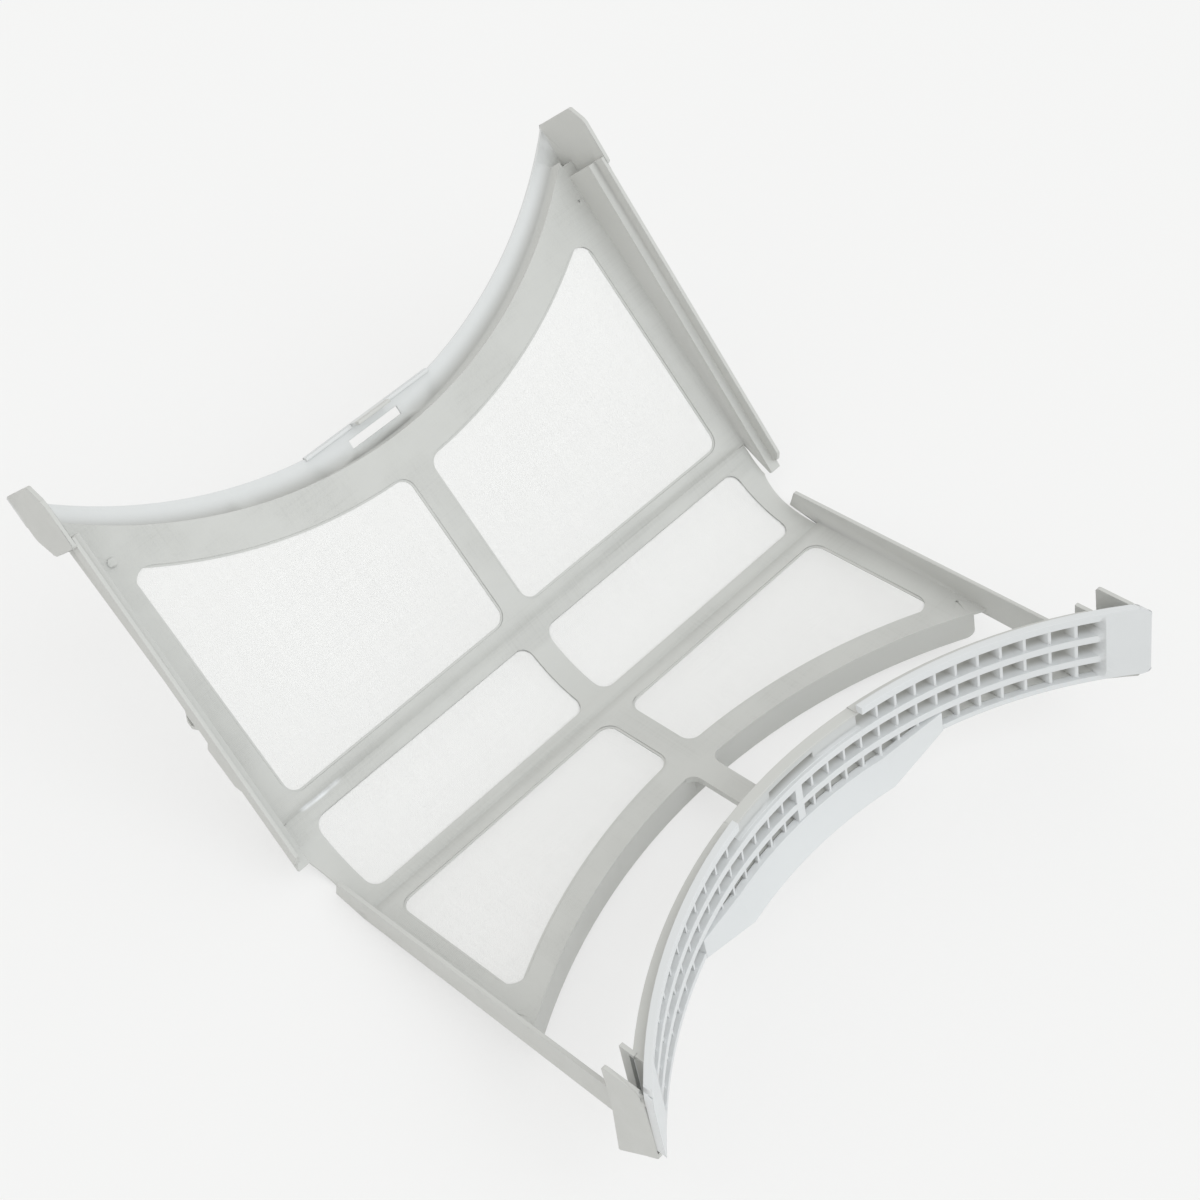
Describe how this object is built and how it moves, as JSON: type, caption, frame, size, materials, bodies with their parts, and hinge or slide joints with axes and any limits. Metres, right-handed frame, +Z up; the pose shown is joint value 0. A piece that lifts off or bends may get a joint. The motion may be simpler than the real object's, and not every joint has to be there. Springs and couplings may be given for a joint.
{
  "type": "tumble dryer lint filter",
  "caption": "Folding lint filter for a tumble dryer: two mesh-windowed plastic frames joined by a flexible strip, with a curved egg-crate grille and pull handle.",
  "frame": {"origin": "middle of the footprint of the open filter as it lies, on the table", "axes": "+X along the fold, +Y from the grille towards the raised rear half, +Z up"},
  "size_m": [0.3128, 0.3685, 0.15],
  "materials": {
    "frame_plastic": "satin moulded, light warm grey",
    "grille_plastic": "satin moulded, pale cool grey",
    "mesh_cloth": "fine open plain weave, white"
  },
  "bodies": {
    "front_half": {"front_frame": "frame_plastic", "grille": "grille_plastic", "front_mesh": "mesh_cloth", "hinge_strip": "frame_plastic", "hinge_mesh": "mesh_cloth"},
    "rear_half": {"rear_frame": "frame_plastic", "rear_mesh": "mesh_cloth"}
  },
  "joints": [
    {"name": "fold", "type": "hinge", "parent": "front_half", "child": "rear_half", "pos_m": [0, 0.01932, 0.0078], "axis": [1, 0, 0], "range_deg": [-33, 123], "deforming": ["hinge_strip", "hinge_mesh"]}
  ]
}
